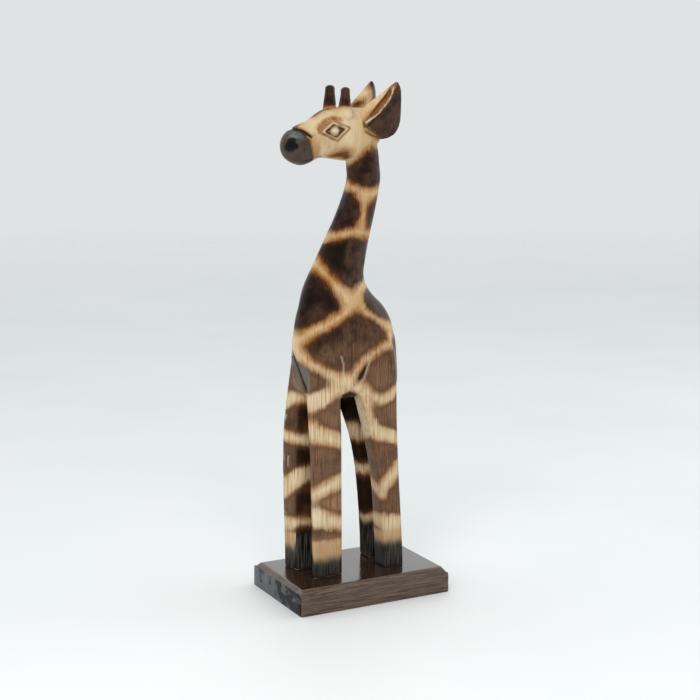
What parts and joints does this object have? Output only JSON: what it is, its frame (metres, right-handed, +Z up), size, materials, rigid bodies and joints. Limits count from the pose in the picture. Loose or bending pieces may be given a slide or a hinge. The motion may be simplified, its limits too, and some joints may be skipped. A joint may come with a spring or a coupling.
{
  "type": "carved giraffe statue",
  "caption": "Upright wooden giraffe carved in one block, with burnt patches, turned head, ears and ossicones, standing on a bevelled rectangular plinth.",
  "frame": {"origin": "middle of the plinth's underside", "axes": "-X the way the giraffe's body faces, +Y its right side, +Z up"},
  "size_m": [0.163, 0.112, 0.4992],
  "materials": {
    "giraffe_wood": "pale softwood with burnt dark patches under satin varnish",
    "plinth_wood": "dark stained board under gloss varnish",
    "screw_steel": "zinc plated, dull",
    "dried_glue": "dried wood glue, amber"
  },
  "bodies": {
    "root": {"giraffe_carving": "giraffe_wood", "plinth": "plinth_wood", "foot_screws": "screw_steel", "foot_glue": "dried_glue"}
  },
  "joints": []
}
